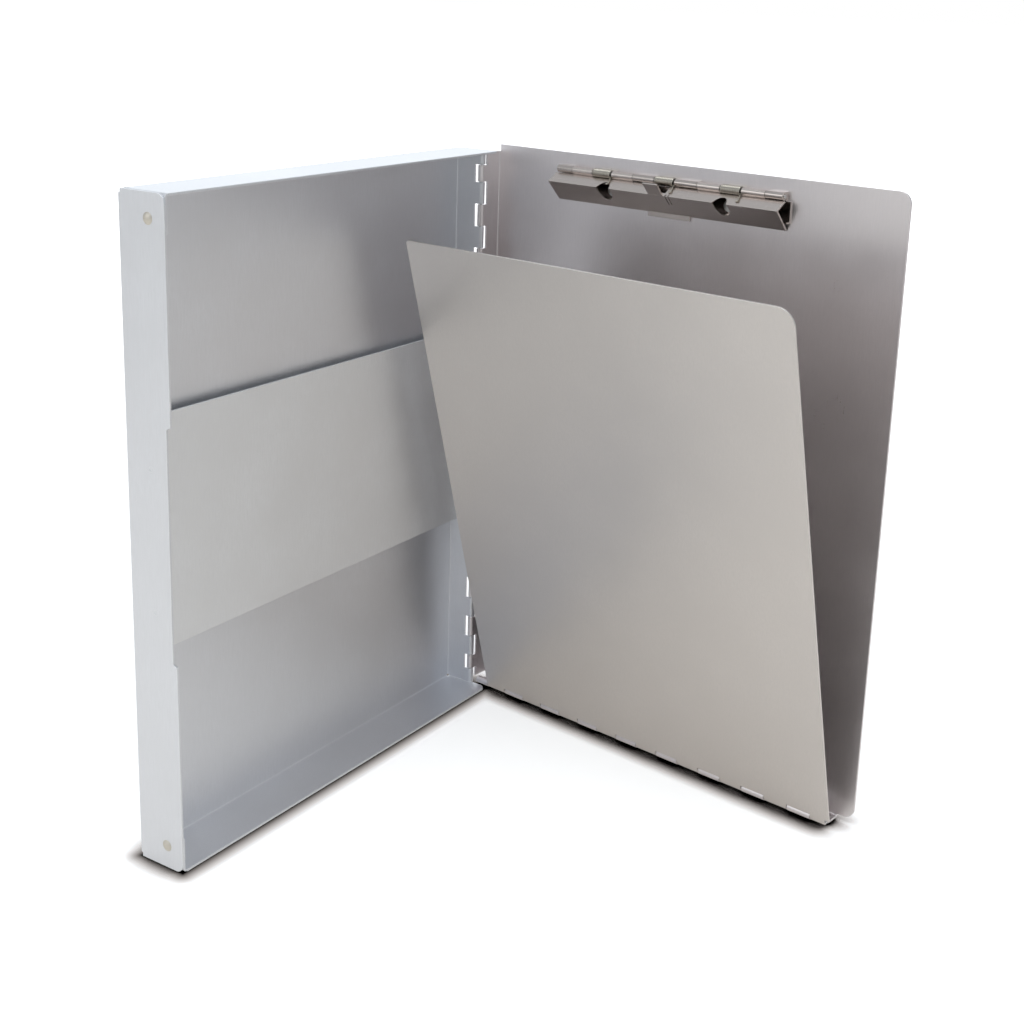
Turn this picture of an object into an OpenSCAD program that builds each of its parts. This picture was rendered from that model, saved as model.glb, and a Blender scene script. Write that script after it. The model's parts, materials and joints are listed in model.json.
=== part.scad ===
// Storage clipboard box: a shallow folded tray, a side-hinged cover with a spring clip,
// and a writing flap hinged on the cover's bottom ledge.
// Units are millimetres. Z is up, X runs across the tray, the tray opens towards -Y.
// The origin is the centre of the tray's bottom face.

/* [Tray] */
// Width of the tray over its side walls
tray_w = 230; // [180:1:280]
// Height of the tray
tray_h = 296; // [240:1:360]
// Depth of the tray from its back to its rim
tray_d = 26.4; // [24:0.2:36]
// Sheet thickness of tray, cover and strap
sheet_t = 1.0; // [0.8:0.1:1.3]
// Outer radius of the folded edges
bend_r = 1.6; // [1.4:0.1:2.4]
// Size of the small relief cut where folds meet
relief = 1.8; // [1.8:0.1:3]
// Corner radius of the left wall at the rim
rim_corner_r = 4; // [2:0.5:6]
// Corner radius of the top and bottom walls beside the hinge
hinge_corner_r = 4; // [2:0.5:9]
// Height of the riveted corner tabs
tab_h = 16; // [14:0.5:24]
// Gap between a corner tab and the tray's outer back
tab_back = 5; // [4:0.5:8]
// Gap between a corner tab and the tray's rim
tab_rim = 0.5; // [0.3:0.1:2]
// Seam between a corner tab and the wall it is riveted to
seam = 0.15; // [0.1:0.05:0.3]

/* [Thumb recess] */
// Height of the lower end of the recess in the left rim
recess_z0 = 97; // [60:1:110]
// Height of the upper end of the recess
recess_z1 = 201.5; // [160:0.5:220]
// Depth of the recess
recess_d = 2.3; // [1.5:0.1:4]
// Radius of the recess ends
recess_r = 2; // [1:0.1:3]

/* [Strap] */
// Height of the strap's lower edge
strap_z0 = 96; // [60:1:110]
// Height of the strap's upper edge
strap_z1 = 201; // [150:0.5:220]
// Height of the strap's face above the tray's outer back
strap_stand = 6.4; // [5:0.1:6.4]
// Length of the strap's welded end flange on the left wall
strap_flange = 10; // [6:0.5:12]
// Length of the strap's end flange on the hinge wall
strap_flange_r = 4.6; // [3:0.1:5]

// Distance of the lower weld mark on the left wall from the strap's lower edge
mark_low = 23; // [15:1:40]
// Distance of the upper weld mark from the strap's upper edge
mark_high = 19; // [15:1:40]
// Distance of the weld marks from the tray's outer back
mark_back = 14.8; // [11:0.2:18]
// Radius of the weld marks
mark_r = 1.3; // [0.8:0.1:2]
// Depth of the weld marks
mark_depth = 0.12; // [0.05:0.01:0.3]

/* [Hinges] */
// Distance of the main hinge axis from the tray's outer back
hinge_back = 15; // [14:0.5:16]
// Hinge pin radius
pin_r = 0.8; // [0.7:0.05:0.9]
// Running clearance of the hinge pins, on the radius
pin_fit = 0.05; // [0.02:0.01:0.1]
// Knuckle pitch of the main hinge
pitch = 11.4; // [11:0.1:13]
// Knuckle pitch of the flap hinge
flap_pitch = 12.7; // [12:0.1:13]
// Gap between two knuckles
knuckle_gap = 0.35; // [0.3:0.05:0.6]
// Distance from a hinge axis to the notched sheet edge
notch = 2.8; // [2.6:0.1:3.4]
// Distance from the main hinge axis to the notched edge of the cover's flange
cover_notch = 2.5; // [2.3:0.1:3]
// Distance from the main hinge axis to the flange's edge beside the top knuckle
top_notch = 2.1; // [2.1:0.05:2.3]
// Length from the tray's top to the first knuckle joint
first_joint = 7.9; // [7:0.1:9]
// Length of the cover's top knuckle
top_knuckle = 8.8; // [8:0.1:10]
// Length of the cover's bottom knuckle
low_knuckle = 8; // [7:0.1:9]

/* [Cover] */
// Opening angle of the cover in the stored pose
open_deg = 83; // [60:1:110]
// Width of the cover panel from the hinge axis, beyond the tray's width
cover_extra = 3; // [2:0.5:6]
// Height of the cover's top edge above the tray's top
cover_over = 2; // [1.5:0.5:4]
// Height of the ledge's under side above the tray's bottom
ledge_z = 1.5; // [1.3:0.1:2.5]
// Gap between the closed cover and the tray rim
lid_gap = 0.3; // [0.3:0.05:0.6]
// Corner radius of the cover's free corners
cover_corner_r = 5.5; // [3:0.5:9]
// Distance from the hinge axis to the start of the ledge
ledge_u0 = 5; // [4:0.5:8]
// Distance between the ledge's end and the cover's free edge
ledge_end = 8.5; // [6:0.5:12]

/* [Writing flap] */
// Sheet thickness of the flap
flap_t = 0.8; // [0.6:0.1:0.8]
// Length of the flap from its hinge axis
flap_len = 264; // [220:1:264]
// Distance from the main hinge axis to the flap's near edge
flap_u0 = 13.5; // [13:0.5:20]
// Distance between the flap's far edge and the cover's free edge
flap_end = 6; // [6:0.5:12]
// Lean of the flap in the stored pose
flap_lean = 15; // [8:0.5:15]
// Corner radius of the flap at its far top corner
flap_corner_r = 8; // [4:0.5:12]
// Corner radius of the flap at its near top corner
flap_corner_s = 2; // [1:0.5:6]
// Distance from the flap hinge axis to the notched edge of the flap
flap_notch = 2.1; // [2.1:0.05:2.8]
// Distance of the flap hinge axis from the main hinge axis, towards the cover
flap_axis_w = 1.5; // [1.5:0.1:3]

/* [Rivets] */
// Head radius of the corner rivets
rivet_head_r = 2.6; // [2.4:0.1:3.6]
// Shank radius of the corner rivets
rivet_r = 1.6; // [1.2:0.1:1.8]
// Height of the corner rivet heads
rivet_head_h = 1.0; // [0.6:0.1:1.2]
// Height of the rivet tails inside the tray
rivet_tail_h = 0.8; // [0.5:0.1:1]
// Distance of the corner rivets from the tray's top and bottom
rivet_edge = 10.5; // [9:0.5:12]
// Distance of the corner rivets from the tray's outer back
rivet_back = 17.2; // [14:0.2:19]

/* [Clip] */
// Distance of the clip's middle from the cover's middle, towards the main hinge
clip_offset = 8; // [0:0.5:20]
// Half length of the clip's barrel
barrel_half = 64.8; // [62:0.2:70]
// Length of the jaw past the barrel at each end
jaw_over = 0.8; // [0.4:0.1:2]
// Length of the base plate past the barrel at each end
base_over = 2.2; // [1.2:0.1:4]
// Sheet thickness of base plate and jaw
clip_t = 0.8; // [0.7:0.05:0.9]
// Distance of the barrel axis below the cover's top edge
barrel_d = 8; // [8:0.1:9]
// Height of the barrel axis above the cover's inner face
barrel_h = 2.7; // [2.7:0.05:3]
// Clip pin radius
clip_pin_r = 1.0; // [0.8:0.05:1.05]
// Spacing of the three springs
spring_pitch = 37; // [36:0.2:38]
// Half length of the space for a spring
spring_half = 5.8; // [5.4:0.1:6]
// Outer radius of the wound springs
spring_r = 2.3; // [2.1:0.05:2.35]
// Wire radius of the spring legs
wire_r = 0.45; // [0.35:0.05:0.5]
// Distance of the jaw's ridge below the cover's top edge
ridge_d = 14; // [13.5:0.1:14.5]
// Height of the jaw's ridge above the cover's inner face
ridge_h = 8.9; // [8:0.1:9]
// Distance of the jaw's lower edge below the cover's top edge
edge_d = 22.9; // [22:0.1:24]
// Gap between the jaw's lower edge and the cover
edge_h = 0.35; // [0.3:0.05:0.6]
// Length the centre tongue reaches past the jaw's lower edge
tongue = 2.6; // [1.5:0.1:4]
// Width of the centre tongue
tongue_w = 24; // [18:0.5:28]
// Width of the thumb tab
tab_w = 8.2; // [6:0.2:10]
// Length of the thumb tab beyond the ridge
tab_len = 8.4; // [3:0.1:8.4]
// Radius of the two access holes in the jaw
access_r = 4.3; // [3.5:0.1:4.6]
// Half spacing of the clip's rivets and access holes
clip_rivet_half = 33.5; // [32:0.5:35]
// Distance of the clip's rivets below the cover's top edge
clip_rivet_d = 15.7; // [15:0.1:16.2]
// Distance of the base plate's lower end below the cover's top edge
base_end_d = 20.2; // [19:0.1:20.4]
// Height of the base plate's lower lip
lip_h = 2.2; // [1.4:0.1:2.3]

/* [Hidden] */
$fn = 64;
e = 0.01;
xl = -tray_w / 2;
xr = tray_w / 2;
yb = tray_d / 2;
yf = -tray_d / 2;
bore_r = pin_r + pin_fit;
knuckle_r = bore_r + sheet_t;
flap_knuckle_r = bore_r + flap_t;
axis_x = xr + bore_r;
axis_y = yb - hinge_back;
panel_w = tray_d + lid_gap - hinge_back;
cover_z1 = tray_h + cover_over;
cover_w = tray_w + cover_extra;
clip_u = cover_w / 2 - clip_offset;
ledge_u1 = cover_w - ledge_end;
flap_u1 = cover_w - flap_end;
flap_axis_z = ledge_z + knuckle_r;
flange_z0 = ledge_z + bend_r + 0.9;
flange_z1 = tray_h - sheet_t - 0.5;
joint0 = tray_h - first_joint;
joint1 = joint0 - top_knuckle;
pairs = floor((joint1 - low_knuckle - 4) / pitch / 2 - 0.5);
segs = 2 * pairs + 1;
joint2 = joint1 - segs * pitch;
joint3 = joint2 - low_knuckle;
tray_segs = concat([[joint0, tray_h - sheet_t + knuckle_gap / 2]],
  [for (i = [0:2:segs - 1]) [joint1 - (i + 1) * pitch, joint1 - i * pitch]],
  [[0.5, joint3]]);
cover_segs = concat([[joint1, joint0]],
  [for (i = [1:2:segs - 1]) [joint1 - (i + 1) * pitch, joint1 - i * pitch]],
  [[joint3, joint2]]);
flap_n = floor((ledge_u1 - flap_u0 - 4) / flap_pitch);
flap_full = flap_n - flap_n % 2;
flap_last = flap_u0 + flap_full * flap_pitch;
flap_segs = concat([for (i = [0:2:flap_full - 1]) [flap_u0 + i * flap_pitch, flap_u0 + (i + 1) * flap_pitch]],
  [[flap_last, ledge_u1]]);
ledge_segs = concat([[ledge_u0, flap_u0]],
  [for (i = [1:2:flap_full - 1]) [flap_u0 + i * flap_pitch, flap_u0 + (i + 1) * flap_pitch]]);
jaw_half = barrel_half + jaw_over;
base_half = barrel_half + base_over;
clip_bore_r = clip_pin_r + pin_fit;
clip_knuckle_r = clip_bore_r + clip_t;
seg_a = spring_half;
seg_b = spring_pitch / 2;
seg_c = spring_pitch - spring_half;
seg_d = spring_pitch + spring_half;
seg_e = seg_d + (barrel_half - seg_d) * 0.57;
base_segs = [[seg_a, seg_b], [-seg_b, -seg_a], [seg_e, barrel_half], [-barrel_half, -seg_e]];
jaw_segs = [[seg_b, seg_c], [-seg_c, -seg_b], [seg_d, seg_e], [-seg_e, -seg_d]];
// Jaw profile in clip axes: first value forward of the cover (negative), second below its top
dist_r = norm([ridge_d - barrel_d, ridge_h - barrel_h]);
slope = atan2(ridge_h - barrel_h, ridge_d - barrel_d) + asin(clip_knuckle_r / dist_r);
pd = cos(slope);
ph = sin(slope);
root_step = 0.3;
root_d = barrel_d + clip_knuckle_r * ph + root_step * pd;
root_h = barrel_h - clip_knuckle_r * pd + root_step * ph;
low_len = norm([edge_d - ridge_d, edge_h - ridge_h]);
qd = (edge_d - ridge_d) / low_len;
qh = (edge_h - ridge_h) / low_len;
mitre = clip_t / (1 + (-ph * -qh) + (pd * qd));
out_d = ridge_d + mitre * (-ph - qh);
out_h = ridge_h + mitre * (pd + qd);
tab_u = clip_u - 0.5;
feature_u = clip_u + 1.5;
rib = 0.3;

// Box between two corners
module box(a, b) {
  translate(a) cube(b - a);
}

// Quarter fold about a line along Z: outer corner faces -X and +Y
module fold_z(len, ro, t) {
  intersection() {
    difference() {
      cylinder(h = len, r = ro);
      translate([0, 0, -1]) cylinder(h = len + 2, r = ro - t);
    }
    translate([-ro - 1, 0, -1]) cube([ro + 1, ro + 1, len + 2]);
  }
}

// Square minus a round, for rounding a plate corner: removes the corner at [r, r]
module corner_cut(r, len) {
  difference() {
    translate([0, 0, -1]) cube([r + 1, r + 1, len + 2]);
    translate([0, 0, -2]) cylinder(h = len + 4, r = r);
  }
}

// Cylinder along X
module rod_x(r, a, b) {
  translate([a, 0, 0]) rotate([0, 90, 0]) cylinder(h = b - a, r = r);
}

// Cover axes: X along the cover from the main hinge, Y to its outer face, Z up
module in_cover() {
  translate([axis_x, axis_y, 0]) rotate([0, 0, 180 + open_deg]) children();
}

// Flap axes: X along the flap hinge, Z up the flap
module in_flap() {
  in_cover() translate([0, flap_axis_w, flap_axis_z]) rotate([flap_lean, 0, 0]) children();
}

// Clip axes: X along the clip, Y towards the cover, Z up, origin at the cover's top edge
module in_clip() {
  in_cover() translate([clip_u, panel_w, cover_z1]) children();
}

// Barrel axes of the clip
module in_barrel() {
  in_clip() translate([0, -barrel_h, -barrel_d]) children();
}

// Clip profile of forward and downward values swept along the clip
module sweep(a, b, pts) {
  translate([a, 0, 0]) rotate([90, 0, 90]) linear_extrude(height = b - a)
    polygon([for (p = pts) [-p[1], -p[0]]]);
}

// Corner tab of the bottom wall, folded up inside the left wall
module bottom_tab() {
  x0 = xl + sheet_t + seam;
  box([x0, yf + tab_rim, bend_r], [x0 + sheet_t, yb - tab_back, tab_h]);
  translate([x0 + bend_r, yb - tab_back, bend_r]) rotate([90, 0, 0]) mirror([0, 1, 0])
    fold_z(tray_d - tab_back - tab_rim, bend_r, sheet_t);
}

// Bottom wall with its fold to the back
module bottom_wall() {
  x0 = xl + sheet_t + seam + bend_r;
  difference() {
    box([x0, yf, 0], [xr, yb - bend_r, sheet_t]);
    translate([xr - hinge_corner_r, yf + hinge_corner_r, 0]) mirror([0, 1, 0])
      corner_cut(hinge_corner_r, sheet_t);
  }
  translate([x0, yb - bend_r, bend_r]) rotate([0, 90, 0]) mirror([1, 0, 0]) fold_z(xr - x0, bend_r, sheet_t);
  bottom_tab();
}

module tray_shell() {
  color([0.78, 0.79, 0.8]) difference() {
    union() {
      box([xl + bend_r, yb - sheet_t, bend_r], [xr - bend_r, yb, tray_h - bend_r]);
      translate([xl + bend_r, yb - bend_r, 0]) fold_z(tray_h, bend_r, sheet_t);
      translate([xr - bend_r, yb - bend_r, 0]) mirror([1, 0, 0]) fold_z(tray_h, bend_r, sheet_t);
      box([xl, yf, 0], [xl + sheet_t, yb - bend_r, tray_h]);
      bottom_wall();
      translate([0, 0, tray_h]) mirror([0, 0, 1]) bottom_wall();
      box([xr - sheet_t, axis_y + notch, sheet_t + rib], [xr, yb - bend_r, tray_h - sheet_t - rib]);
      for (s = tray_segs) {
        box([xr - sheet_t, axis_y, s[0] + knuckle_gap / 2], [xr, axis_y + notch + e, s[1] - knuckle_gap / 2]);
        translate([axis_x, axis_y, s[0] + knuckle_gap / 2]) cylinder(h = s[1] - s[0] - knuckle_gap, r = knuckle_r);
      }
    }
    translate([axis_x, axis_y, -1]) cylinder(h = tray_h + 2, r = bore_r);
    for (x = [xl - 1, xr - relief]) for (z = [-1, tray_h - relief])
      box([x, yb - relief, z], [x + relief + 1, yb + 1, z + relief + 1]);
    for (z = [0, 1]) translate([xl - 1, yf + rim_corner_r, z * tray_h + (1 - 2 * z) * rim_corner_r])
      rotate([90, 0, 90]) mirror([1, 0, 0]) mirror([0, 1 - z, 0]) corner_cut(rim_corner_r, sheet_t);
    box([xl - 1, yf - 1, recess_z0], [xl + sheet_t + e, yf + recess_d - recess_r, recess_z1]);
    box([xl - 1, yf - 1, recess_z0 + recess_r], [xl + sheet_t + e, yf + recess_d, recess_z1 - recess_r]);
    for (z = [recess_z0 + recess_r, recess_z1 - recess_r])
      translate([xl - 1, yf + recess_d - recess_r, z]) rod_x(recess_r, 0, sheet_t + 1 + e);
    for (z = [rivet_edge, tray_h - rivet_edge])
      translate([xl - 1, yb - rivet_back, z]) rod_x(rivet_r, 0, 2 * sheet_t + seam + 2);
    for (z = [strap_z0 + mark_low, strap_z1 - mark_high])
      translate([xl, yb - mark_back, z]) rod_x(mark_r, -1, mark_depth);
  }
}

module retainer_strap() {
  y1 = yb - strap_stand;
  x0 = xl + sheet_t;
  x1 = xr - sheet_t;
  color([0.74, 0.74, 0.75]) {
    box([x0 + bend_r, y1, strap_z0], [x1 - bend_r, y1 + sheet_t, strap_z1]);
    translate([x0 + bend_r, y1 + sheet_t - bend_r, strap_z0]) fold_z(strap_z1 - strap_z0, bend_r, sheet_t);
    translate([x1 - bend_r, y1 + sheet_t - bend_r, strap_z0]) mirror([1, 0, 0])
      fold_z(strap_z1 - strap_z0, bend_r, sheet_t);
    box([x0, y1 - strap_flange, strap_z0], [x0 + sheet_t, y1 + sheet_t - bend_r, strap_z1]);
    box([x1 - sheet_t, y1 - strap_flange_r, strap_z0], [x1, y1 + sheet_t - bend_r, strap_z1]);
  }
}

// Rivet along X through the left wall and a corner tab
module corner_rivet(z) {
  stack = 2 * sheet_t + seam;
  dome_r = (rivet_head_r * rivet_head_r + rivet_head_h * rivet_head_h) / (2 * rivet_head_h);
  color([0.78, 0.74, 0.66]) translate([xl, yb - rivet_back, z]) {
    rod_x(rivet_r, -e, stack + e);
    intersection() {
      translate([dome_r - rivet_head_h, 0, 0]) sphere(r = dome_r, $fn = 96);
      rod_x(rivet_head_r, -rivet_head_h - 1, 0);
    }
    rod_x(rivet_r + 0.8, stack, stack + rivet_tail_h);
  }
}

module corner_rivet_top() {
  corner_rivet(tray_h - rivet_edge);
}

module corner_rivet_bottom() {
  corner_rivet(rivet_edge);
}

module main_hinge_pin() {
  color([0.7, 0.7, 0.72]) translate([axis_x, axis_y, 0.8]) cylinder(h = tray_h - sheet_t - 0.8, r = pin_r);
}

module cover_panel() {
  w1 = panel_w + sheet_t;
  z0 = ledge_z;
  color([0.68, 0.67, 0.68]) in_cover() difference() {
    union() {
      difference() {
        box([bore_r + bend_r, panel_w, z0 + bend_r], [cover_w, w1, cover_z1]);
        translate([cover_w - cover_corner_r, w1, cover_z1 - cover_corner_r]) rotate([90, 0, 0])
          corner_cut(cover_corner_r, sheet_t);
        translate([cover_w - cover_corner_r, w1, z0 + bend_r + cover_corner_r]) rotate([90, 0, 0]) mirror([0, 1, 0])
          corner_cut(cover_corner_r, sheet_t);
      }
      translate([bore_r + bend_r, w1 - bend_r, flange_z0]) fold_z(flange_z1 - flange_z0, bend_r, sheet_t);
      box([bore_r, cover_notch, flange_z0], [knuckle_r, w1 - bend_r, flange_z1]);
      box([bore_r, top_notch, joint0 + knuckle_gap / 2], [knuckle_r, cover_notch + e, flange_z1]);
      for (s = cover_segs) {
        box([bore_r, 0, s[0] + knuckle_gap / 2], [knuckle_r, cover_notch + e, s[1] - knuckle_gap / 2]);
        translate([0, 0, s[0] + knuckle_gap / 2]) cylinder(h = s[1] - s[0] - knuckle_gap, r = knuckle_r);
      }
      box([ledge_u0, flap_axis_w + notch, z0], [ledge_u1, w1 - bend_r, z0 + sheet_t]);
      translate([ledge_u0, w1 - bend_r, z0 + bend_r]) rotate([0, 90, 0]) mirror([1, 0, 0])
        mirror([1, 0, 0]) fold_ledge(ledge_u1 - ledge_u0);
      for (s = ledge_segs) {
        box([s[0] + knuckle_gap / 2, flap_axis_w, z0], [s[1] - knuckle_gap / 2, flap_axis_w + notch + e, z0 + sheet_t]);
        translate([0, flap_axis_w, flap_axis_z]) rod_x(knuckle_r, s[0] + knuckle_gap / 2, s[1] - knuckle_gap / 2);
      }
    }
    translate([0, 0, -1]) cylinder(h = tray_h + 2, r = bore_r);
    translate([0, flap_axis_w, flap_axis_z]) rod_x(bore_r, 0, cover_w);
    for (s = [-1, 1]) translate([feature_u + s * clip_rivet_half, w1 + 1, cover_z1 - clip_rivet_d])
      rotate([90, 0, 0]) cylinder(h = sheet_t + 2, r = rivet_r);
  }
}

// Fold between panel and ledge, along Z after the caller's turn: outer corner faces the floor
module fold_ledge(len) {
  intersection() {
    difference() {
      cylinder(h = len, r = bend_r);
      translate([0, 0, -1]) cylinder(h = len + 2, r = bend_r - sheet_t);
    }
    translate([0, 0, -1]) cube([bend_r + 1, bend_r + 1, len + 2]);
  }
}

module flap_hinge_pin() {
  color([0.7, 0.7, 0.72]) in_cover() translate([0, flap_axis_w, flap_axis_z])
    rod_x(pin_r, ledge_u0 + 0.3, ledge_u1 + 0.6);
}

module writing_flap() {
  y0 = -flap_knuckle_r;
  y1 = -bore_r;
  color([0.72, 0.71, 0.7]) in_flap() difference() {
    union() {
      difference() {
        box([flap_u0, y0, flap_notch], [flap_u1, y1, flap_len]);
        translate([flap_u1 - flap_corner_r, y1, flap_len - flap_corner_r]) rotate([90, 0, 0])
          corner_cut(flap_corner_r, flap_t);
        translate([flap_u0 + flap_corner_s, y1, flap_len - flap_corner_s]) rotate([90, 0, 0]) mirror([1, 0, 0])
          corner_cut(flap_corner_s, flap_t);
      }
      for (s = flap_segs) {
        box([s[0] + knuckle_gap / 2, y0, 0], [s[1] - knuckle_gap / 2, y1, flap_notch + e]);
        rod_x(flap_knuckle_r, s[0] + knuckle_gap / 2, s[1] - knuckle_gap / 2);
      }
    }
    rod_x(bore_r, 0, cover_w);
  }
}

module clip_base_plate() {
  r1 = clip_knuckle_r;
  d0 = barrel_d + r1 + 0.55;
  color([0.66, 0.65, 0.63]) in_clip() difference() {
    union() {
      box([-base_half, -clip_t, -base_end_d], [base_half, 0, -d0]);
      box([-base_half, -lip_h, -base_end_d], [base_half, -clip_t + e, -base_end_d + clip_t]);
      for (s = base_segs) {
        a = s[0] + 0.15;
        b = s[1] - 0.15;
        box([a, -clip_t, -d0 - e], [b, 0, -barrel_d + r1]);
        box([a, -barrel_h, -barrel_d + r1 - clip_t], [b, -clip_t + e, -barrel_d + r1]);
        translate([0, -barrel_h, -barrel_d]) rod_x(r1, a, b);
      }
    }
    translate([0, -barrel_h, -barrel_d]) rod_x(clip_bore_r, -barrel_half - 1, barrel_half + 1);
    for (s = [-1, 1]) translate([feature_u - clip_u + s * clip_rivet_half, 1, -clip_rivet_d])
      rotate([90, 0, 0]) cylinder(h = clip_t + 2, r = rivet_r);
  }
}

// Rivet through the base plate and the cover
module clip_rivet(s) {
  color([0.7, 0.69, 0.67]) in_clip() translate([feature_u - clip_u + s * clip_rivet_half, 0, -clip_rivet_d])
    rotate([90, 0, 0]) {
      translate([0, 0, -sheet_t - e]) cylinder(h = sheet_t + clip_t + 2 * e, r = rivet_r);
      translate([0, 0, clip_t]) cylinder(h = 0.9, r = rivet_r + 1.1);
      translate([0, 0, -sheet_t - 0.8]) cylinder(h = 0.8, r = rivet_r + 1.3);
    }
}

module clip_rivet_left() {
  clip_rivet(-1);
}

module clip_rivet_right() {
  clip_rivet(1);
}

module clip_pin() {
  color([0.7, 0.7, 0.72]) in_barrel() rod_x(clip_pin_r, -barrel_half - 0.4, barrel_half + 0.4);
}

module clip_jaw() {
  profile = [[root_d, root_h], [ridge_d, ridge_h], [edge_d, edge_h],
    [edge_d - clip_t * qh, edge_h + clip_t * qd], [out_d, out_h],
    [root_d - clip_t * ph, root_h + clip_t * pd]];
  tip = [ridge_d - tab_len * qd, ridge_h - tab_len * qh];
  skin = 0.05;
  foot = [ridge_d + 0.6 * qd - skin * qh, ridge_h + 0.6 * qh + skin * qd];
  thumb_t = clip_t - 2 * skin;
  thumb = [foot, [foot[0] - thumb_t * qh, foot[1] + thumb_t * qd],
    [tip[0] - thumb_t * qh, tip[1] + thumb_t * qd], tip];
  cut_a = 1.3;
  cut_b = 6.1;
  lance = [[ridge_d - cut_a * pd + 2 * ph, ridge_h - cut_a * ph - 2 * pd],
    [ridge_d - cut_b * pd + 2 * ph, ridge_h - cut_b * ph - 2 * pd],
    [ridge_d - cut_b * pd - 2 * ph, ridge_h - cut_b * ph + 2 * pd],
    [ridge_d - cut_a * pd - 2 * ph, ridge_h - cut_a * ph + 2 * pd]];
  color([0.7, 0.68, 0.65]) in_clip() difference() {
    union() {
      sweep(-jaw_half, jaw_half, profile);
      sweep(tab_u - clip_u - tab_w / 2, tab_u - clip_u + tab_w / 2, thumb);
      translate([feature_u - clip_u, 0, 0]) box([-tongue_w / 2, -edge_h - clip_t, -edge_d - tongue],
        [tongue_w / 2, -edge_h + 0.04, -edge_d + 0.5]);
      for (s = jaw_segs) translate([0, -barrel_h, -barrel_d]) rod_x(clip_knuckle_r, s[0] + 0.15, s[1] - 0.15);
    }
    sweep(tab_u - clip_u - tab_w / 2 - 0.3, tab_u - clip_u + tab_w / 2 + 0.3, lance);
    translate([0, -barrel_h, -barrel_d]) {
      rod_x(clip_bore_r, -barrel_half - 1, barrel_half + 1);
      for (s = base_segs) rod_x(clip_knuckle_r + 0.5, abs(s[0]) > seg_e || abs(s[1]) > seg_e ?
        min(s[0], s[0] < 0 ? -jaw_half - 1 : s[0]) - 0.15 : s[0] - 0.15,
        s[1] > seg_e ? jaw_half + 1 : s[1] + 0.15);
      for (i = [-1, 0, 1]) rod_x(spring_r + 0.25, i * spring_pitch - spring_half, i * spring_pitch + spring_half);
    }
    for (s = [-1, 1]) translate([feature_u - clip_u + s * clip_rivet_half, 0, -clip_rivet_d])
      rotate([90, 0, 0]) cylinder(h = 2 * ridge_h, r = access_r);
    for (s = [1.4, 3.1]) translate([tab_u - clip_u + tab_w / 2 + s, -ridge_h - 1, -ridge_d - 5.5 * qd])
      rotate([90 - atan2(-qh, qd), 0, 0]) box([-0.3, -4, -3], [0.3, 4, 3]);
  }
}

// Wound spring on the clip's pin with its leg on the jaw
module clip_spring(i) {
  t1 = sqrt(pow(clip_bore_r + 0.55, 2) - pow(0.6, 2));
  off = clip_knuckle_r - clip_t - wire_r - 0.02;
  color([0.72, 0.7, 0.67]) in_barrel() translate([i * spring_pitch, 0, 0]) {
    difference() {
      union() {
        rod_x(spring_r, -spring_half + 0.15, spring_half - 0.15);
        translate([spring_half - 0.15 - wire_r, -(off * -pd + t1 * ph), -(off * ph + t1 * pd)])
          rotate([180 - slope, 0, 0]) leg();
      }
      rod_x(clip_pin_r + 0.15, -spring_half - 1, spring_half + 1);
    }
  }
}

// Straight spring leg with a round end
module leg() {
  cylinder(h = 4.2, r = wire_r, $fn = 32);
  translate([0, 0, 4.2]) sphere(r = wire_r, $fn = 32);
}

module clip_spring_left() {
  clip_spring(-1);
}

module clip_spring_centre() {
  clip_spring(0);
}

module clip_spring_right() {
  clip_spring(1);
}

tray_shell();
retainer_strap();
corner_rivet_top();
corner_rivet_bottom();
main_hinge_pin();
cover_panel();
flap_hinge_pin();
clip_base_plate();
clip_rivet_left();
clip_rivet_right();
clip_pin();
writing_flap();
clip_jaw();
clip_spring_left();
clip_spring_centre();
clip_spring_right();
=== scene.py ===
"""Looks for a storage clipboard box of mill-finish aluminium with a nickel-plated spring clip.

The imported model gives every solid. This file gives the sheets their satin metal, winds the
clip's springs, and sets up the floor, the light and the camera. Lengths are in metres.
"""

import json
import math

import bpy
from mathutils import Matrix, Vector


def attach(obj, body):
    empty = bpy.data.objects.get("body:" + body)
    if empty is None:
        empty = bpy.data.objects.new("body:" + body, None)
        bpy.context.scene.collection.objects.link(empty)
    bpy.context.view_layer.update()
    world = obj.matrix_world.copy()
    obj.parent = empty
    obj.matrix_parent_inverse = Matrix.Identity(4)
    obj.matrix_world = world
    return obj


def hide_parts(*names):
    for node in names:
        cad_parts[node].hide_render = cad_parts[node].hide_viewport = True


bl_info = {
    "name": "Storage clipboard box",
    "version": (1, 0, 0),
    "blender": (4, 5, 0),
    "location": "View3D > Sidebar > Clipboard box",
    "description": "Dresses a storage clipboard box in satin aluminium and nickel, and lights it",
    "category": "Object",
}

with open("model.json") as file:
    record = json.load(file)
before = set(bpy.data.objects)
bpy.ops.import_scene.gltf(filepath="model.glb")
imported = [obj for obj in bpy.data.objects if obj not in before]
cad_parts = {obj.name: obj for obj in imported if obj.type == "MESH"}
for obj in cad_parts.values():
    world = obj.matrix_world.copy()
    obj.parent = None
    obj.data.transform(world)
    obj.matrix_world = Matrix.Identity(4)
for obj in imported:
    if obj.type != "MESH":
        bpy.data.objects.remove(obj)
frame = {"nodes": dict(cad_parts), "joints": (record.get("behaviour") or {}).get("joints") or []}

MM = 0.001
SPRING_NODES = ("clip_spring_left", "clip_spring_centre", "clip_spring_right")
CLIP_HINGE = next(j for j in frame["joints"] if j["name"] == "clip_hinge")

# Colour and roughness of the small steel and nickel pieces
RIVET_NICKEL = (0.66, 0.62, 0.55), 0.50
HINGE_PIN_STEEL = (0.60, 0.60, 0.62), 0.25
CLIP_RIVET_STEEL = (0.58, 0.57, 0.55), 0.30
CLIP_PIN_STEEL = (0.62, 0.61, 0.60), 0.20
SPRING_WIRE = (0.46, 0.43, 0.38), 0.15

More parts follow.
